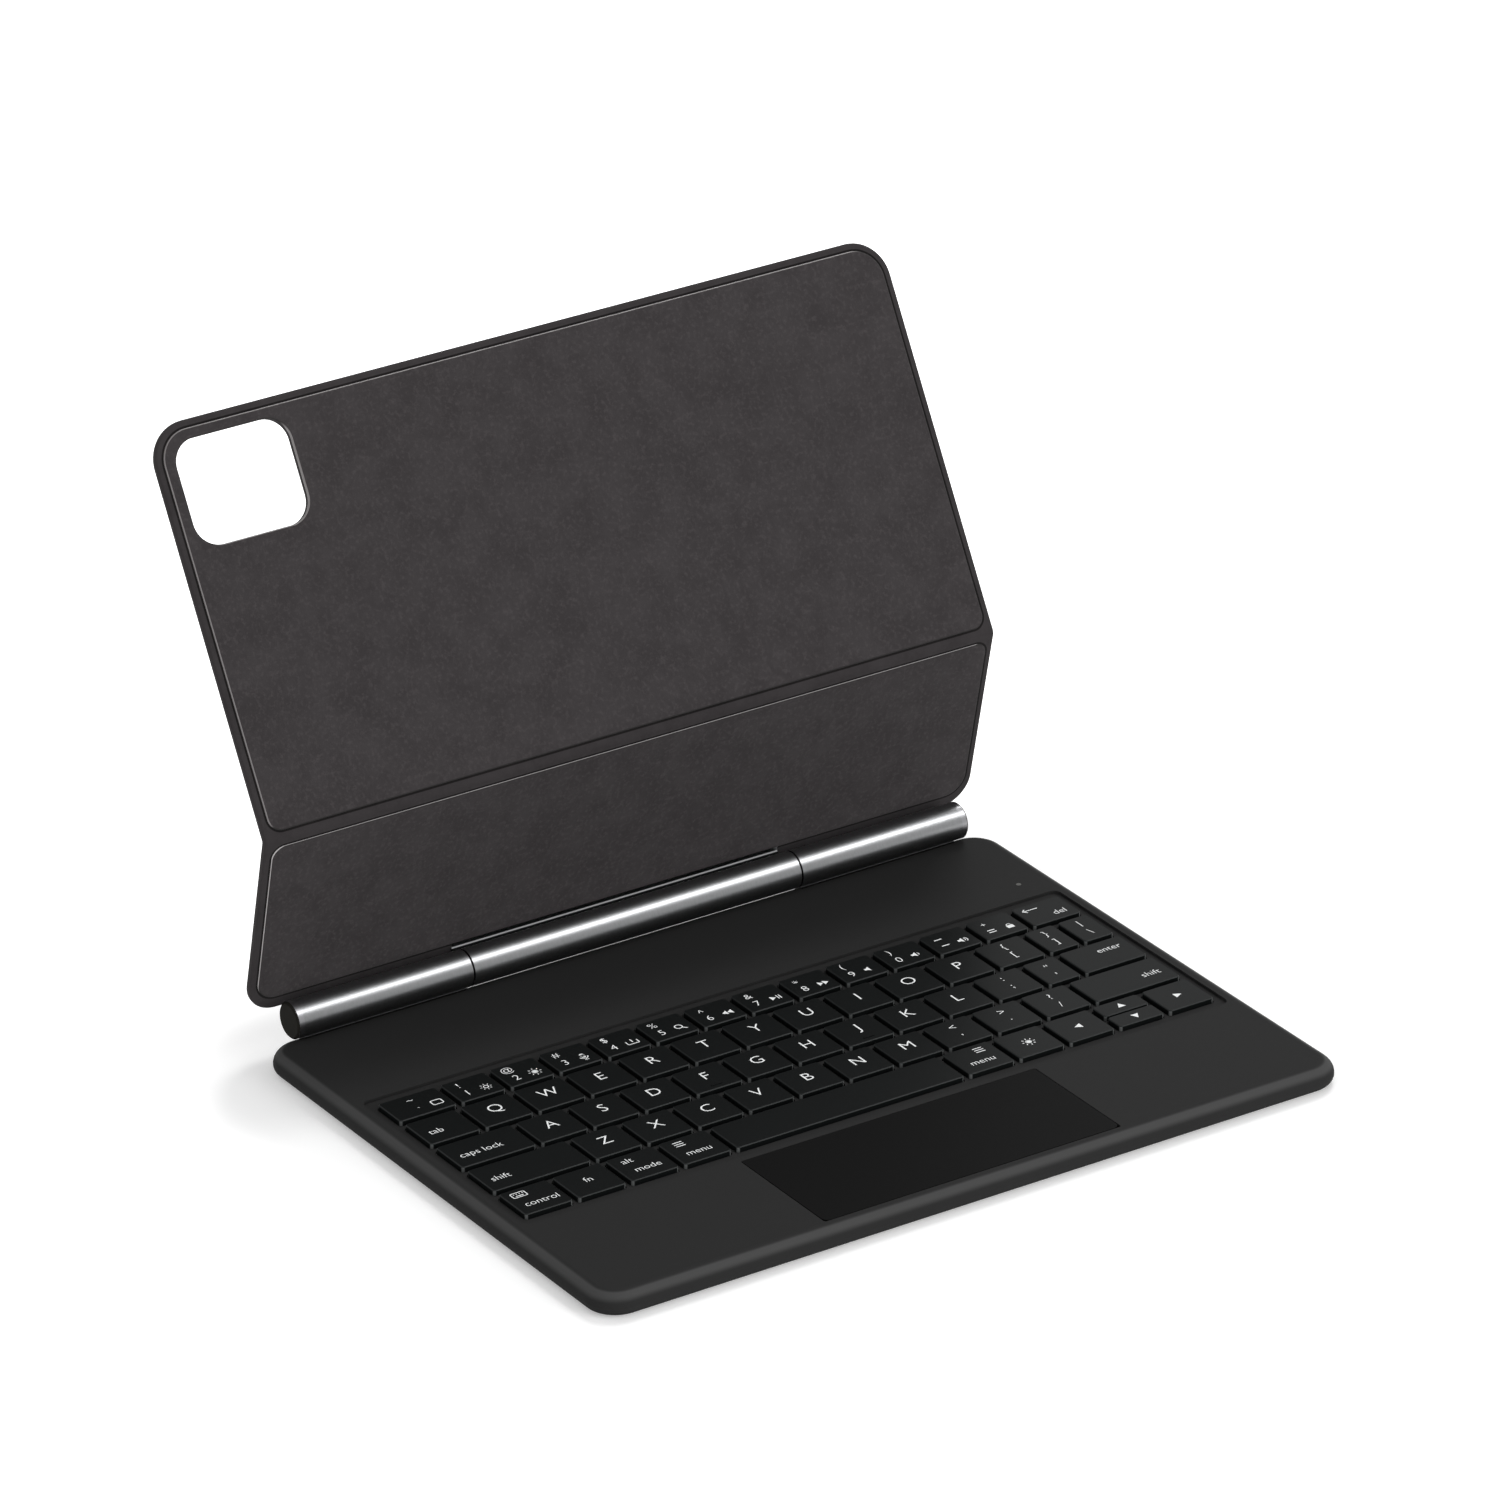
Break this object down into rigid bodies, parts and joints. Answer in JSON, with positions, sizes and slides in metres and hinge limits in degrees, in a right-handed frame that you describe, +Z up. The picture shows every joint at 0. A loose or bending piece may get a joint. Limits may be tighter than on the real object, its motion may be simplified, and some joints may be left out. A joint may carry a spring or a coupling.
{
  "type": "tablet keyboard case",
  "caption": "Keyboard base with trackpad and hinge tube, carrying a two-leaf folding magnetic cover with a camera opening, that holds a tablet upright.",
  "frame": {"origin": "centre of the base's underside", "axes": "+Z up, +Y towards the hinge at the rear, +X to the right as the user sees it"},
  "size_m": [0.25, 0.2399, 0.181],
  "materials": {
    "deck": "fine matt deck with a satin edge",
    "tray": "matt",
    "key_caps": "near-black, slightly glossy",
    "trackpad": "smooth satin",
    "tube": "dark polished metal",
    "tube_caps": "matt",
    "shaft_steel": "ground",
    "sleeve_bronze": "plain",
    "screw_steel": "plain",
    "board_stiff": "plain sheet",
    "lining": "microfibre, short nap",
    "back_skin": "fine woven coat",
    "magnet_metal": "plated",
    "silicone": "translucent",
    "plate_steel": "plain sheet",
    "circuit": "solder mask",
    "cell": "foil pouch",
    "light_pipe": "clear white"
  },
  "bodies": {
    "base": {"deck_shell": "deck", "bottom_cover": "tray", "key_plate": "plate_steel", "dome_sheet": "silicone", "circuit_board": "circuit", "battery_cell": "cell", "led_lens": "light_pipe", "left_barrel": "tube", "right_barrel": "tube", "end_caps": "tube_caps", "friction_sleeves": "sleeve_bronze", "case_screws": "screw_steel", "trackpad_switch": "screw_steel", "trackpad_flexure": "plate_steel"},
    "lower_cover": {"centre_barrel": "tube", "hinge_shafts": "shaft_steel", "lower_board": "board_stiff", "lower_back_skin": "back_skin", "lower_lining": "lining", "bracket_rivets": "screw_steel"},
    "upper_cover": {"upper_board": "board_stiff", "upper_back_skin": "back_skin", "upper_lining": "lining", "holding_magnets": "magnet_metal"},
    "trackpad": {"trackpad_plate": "trackpad"},
    "key_a_cap": {"key_a": "key_caps"},
    "key_b_cap": {"key_b": "key_caps"},
    "key_c_cap": {"key_c": "key_caps"},
    "key_d_cap": {"key_d": "key_caps"},
    "key_e_cap": {"key_e": "key_caps"},
    "key_f_cap": {"key_f": "key_caps"},
    "key_g_cap": {"key_g": "key_caps"},
    "key_h_cap": {"key_h": "key_caps"},
    "key_i_cap": {"key_i": "key_caps"},
    "key_j_cap": {"key_j": "key_caps"},
    "key_k_cap": {"key_k": "key_caps"},
    "key_l_cap": {"key_l": "key_caps"},
    "key_m_cap": {"key_m": "key_caps"},
    "key_n_cap": {"key_n": "key_caps"},
    "key_o_cap": {"key_o": "key_caps"},
    "key_p_cap": {"key_p": "key_caps"},
    "key_q_cap": {"key_q": "key_caps"},
    "key_r_cap": {"key_r": "key_caps"},
    "key_s_cap": {"key_s": "key_caps"},
    "key_t_cap": {"key_t": "key_caps"},
    "key_u_cap": {"key_u": "key_caps"},
    "key_v_cap": {"key_v": "key_caps"},
    "key_w_cap": {"key_w": "key_caps"},
    "key_x_cap": {"key_x": "key_caps"},
    "key_y_cap": {"key_y": "key_caps"},
    "key_z_cap": {"key_z": "key_caps"},
    "key_tab_cap": {"key_tab": "key_caps"},
    "key_caps_cap": {"key_caps": "key_caps"},
    "key_enter_cap": {"key_enter": "key_caps"},
    "key_delete_cap": {"key_delete": "key_caps"},
    "key_space_cap": {"key_space": "key_caps"},
    "digits_caps": {"keys_digits": "key_caps"},
    "marks_caps": {"keys_marks": "key_caps"},
    "modifiers_caps": {"keys_modifiers": "key_caps"},
    "arrows_caps": {"keys_arrows": "key_caps"}
  },
  "joints": [
    {"name": "cover_hinge", "type": "hinge", "parent": "base", "child": "lower_cover", "pos_m": [0, 0.0919, 0.0126], "axis": [1, 0, 0], "range_deg": [-30, 76.02]},
    {"name": "fold_hinge", "type": "hinge", "parent": "lower_cover", "child": "upper_cover", "pos_m": [0, 0.08519, 0.0743], "axis": [1, 0, 0], "range_deg": [-15, 43.17]},
    {"name": "trackpad_click", "type": "hinge", "parent": "base", "child": "trackpad", "pos_m": [0, -0.04525, 0.00635], "axis": [1, 0, 0], "range_deg": [0, 0.55], "stiffness_Nm_per_rad": 20, "springref_deg": -0.34},
    {"name": "press_a", "type": "slide", "parent": "base", "child": "key_a_cap", "axis": [0, 0, -1], "range_m": [0, 0.001], "stiffness_N_per_m": 100, "springref_m": -0.001},
    {"name": "press_b", "type": "slide", "parent": "base", "child": "key_b_cap", "axis": [0, 0, -1], "range_m": [0, 0.001], "stiffness_N_per_m": 100, "springref_m": -0.001},
    {"name": "press_c", "type": "slide", "parent": "base", "child": "key_c_cap", "axis": [0, 0, -1], "range_m": [0, 0.001], "stiffness_N_per_m": 100, "springref_m": -0.001},
    {"name": "press_d", "type": "slide", "parent": "base", "child": "key_d_cap", "axis": [0, 0, -1], "range_m": [0, 0.001], "stiffness_N_per_m": 100, "springref_m": -0.001},
    {"name": "press_e", "type": "slide", "parent": "base", "child": "key_e_cap", "axis": [0, 0, -1], "range_m": [0, 0.001], "stiffness_N_per_m": 100, "springref_m": -0.001},
    {"name": "press_f", "type": "slide", "parent": "base", "child": "key_f_cap", "axis": [0, 0, -1], "range_m": [0, 0.001], "stiffness_N_per_m": 100, "springref_m": -0.001},
    {"name": "press_g", "type": "slide", "parent": "base", "child": "key_g_cap", "axis": [0, 0, -1], "range_m": [0, 0.001], "stiffness_N_per_m": 100, "springref_m": -0.001},
    {"name": "press_h", "type": "slide", "parent": "base", "child": "key_h_cap", "axis": [0, 0, -1], "range_m": [0, 0.001], "stiffness_N_per_m": 100, "springref_m": -0.001},
    {"name": "press_i", "type": "slide", "parent": "base", "child": "key_i_cap", "axis": [0, 0, -1], "range_m": [0, 0.001], "stiffness_N_per_m": 100, "springref_m": -0.001},
    {"name": "press_j", "type": "slide", "parent": "base", "child": "key_j_cap", "axis": [0, 0, -1], "range_m": [0, 0.001], "stiffness_N_per_m": 100, "springref_m": -0.001},
    {"name": "press_k", "type": "slide", "parent": "base", "child": "key_k_cap", "axis": [0, 0, -1], "range_m": [0, 0.001], "stiffness_N_per_m": 100, "springref_m": -0.001},
    {"name": "press_l", "type": "slide", "parent": "base", "child": "key_l_cap", "axis": [0, 0, -1], "range_m": [0, 0.001], "stiffness_N_per_m": 100, "springref_m": -0.001},
    {"name": "press_m", "type": "slide", "parent": "base", "child": "key_m_cap", "axis": [0, 0, -1], "range_m": [0, 0.001], "stiffness_N_per_m": 100, "springref_m": -0.001},
    {"name": "press_n", "type": "slide", "parent": "base", "child": "key_n_cap", "axis": [0, 0, -1], "range_m": [0, 0.001], "stiffness_N_per_m": 100, "springref_m": -0.001},
    {"name": "press_o", "type": "slide", "parent": "base", "child": "key_o_cap", "axis": [0, 0, -1], "range_m": [0, 0.001], "stiffness_N_per_m": 100, "springref_m": -0.001},
    {"name": "press_p", "type": "slide", "parent": "base", "child": "key_p_cap", "axis": [0, 0, -1], "range_m": [0, 0.001], "stiffness_N_per_m": 100, "springref_m": -0.001},
    {"name": "press_q", "type": "slide", "parent": "base", "child": "key_q_cap", "axis": [0, 0, -1], "range_m": [0, 0.001], "stiffness_N_per_m": 100, "springref_m": -0.001},
    {"name": "press_r", "type": "slide", "parent": "base", "child": "key_r_cap", "axis": [0, 0, -1], "range_m": [0, 0.001], "stiffness_N_per_m": 100, "springref_m": -0.001},
    {"name": "press_s", "type": "slide", "parent": "base", "child": "key_s_cap", "axis": [0, 0, -1], "range_m": [0, 0.001], "stiffness_N_per_m": 100, "springref_m": -0.001},
    {"name": "press_t", "type": "slide", "parent": "base", "child": "key_t_cap", "axis": [0, 0, -1], "range_m": [0, 0.001], "stiffness_N_per_m": 100, "springref_m": -0.001},
    {"name": "press_u", "type": "slide", "parent": "base", "child": "key_u_cap", "axis": [0, 0, -1], "range_m": [0, 0.001], "stiffness_N_per_m": 100, "springref_m": -0.001},
    {"name": "press_v", "type": "slide", "parent": "base", "child": "key_v_cap", "axis": [0, 0, -1], "range_m": [0, 0.001], "stiffness_N_per_m": 100, "springref_m": -0.001},
    {"name": "press_w", "type": "slide", "parent": "base", "child": "key_w_cap", "axis": [0, 0, -1], "range_m": [0, 0.001], "stiffness_N_per_m": 100, "springref_m": -0.001},
    {"name": "press_x", "type": "slide", "parent": "base", "child": "key_x_cap", "axis": [0, 0, -1], "range_m": [0, 0.001], "stiffness_N_per_m": 100, "springref_m": -0.001},
    {"name": "press_y", "type": "slide", "parent": "base", "child": "key_y_cap", "axis": [0, 0, -1], "range_m": [0, 0.001], "stiffness_N_per_m": 100, "springref_m": -0.001},
    {"name": "press_z", "type": "slide", "parent": "base", "child": "key_z_cap", "axis": [0, 0, -1], "range_m": [0, 0.001], "stiffness_N_per_m": 100, "springref_m": -0.001},
    {"name": "press_tab", "type": "slide", "parent": "base", "child": "key_tab_cap", "axis": [0, 0, -1], "range_m": [0, 0.001], "stiffness_N_per_m": 100, "springref_m": -0.001},
    {"name": "press_caps", "type": "slide", "parent": "base", "child": "key_caps_cap", "axis": [0, 0, -1], "range_m": [0, 0.001], "stiffness_N_per_m": 100, "springref_m": -0.001},
    {"name": "press_enter", "type": "slide", "parent": "base", "child": "key_enter_cap", "axis": [0, 0, -1], "range_m": [0, 0.001], "stiffness_N_per_m": 100, "springref_m": -0.001},
    {"name": "press_delete", "type": "slide", "parent": "base", "child": "key_delete_cap", "axis": [0, 0, -1], "range_m": [0, 0.001], "stiffness_N_per_m": 100, "springref_m": -0.001},
    {"name": "press_space", "type": "slide", "parent": "base", "child": "key_space_cap", "axis": [0, 0, -1], "range_m": [0, 0.001], "stiffness_N_per_m": 100, "springref_m": -0.001},
    {"name": "press_digits", "type": "slide", "parent": "base", "child": "digits_caps", "axis": [0, 0, -1], "range_m": [0, 0.001], "stiffness_N_per_m": 200, "springref_m": -0.002},
    {"name": "press_marks", "type": "slide", "parent": "base", "child": "marks_caps", "axis": [0, 0, -1], "range_m": [0, 0.001], "stiffness_N_per_m": 200, "springref_m": -0.002},
    {"name": "press_modifiers", "type": "slide", "parent": "base", "child": "modifiers_caps", "axis": [0, 0, -1], "range_m": [0, 0.001], "stiffness_N_per_m": 200, "springref_m": -0.002},
    {"name": "press_arrows", "type": "slide", "parent": "base", "child": "arrows_caps", "axis": [0, 0, -1], "range_m": [0, 0.001], "stiffness_N_per_m": 200, "springref_m": -0.002}
  ]
}
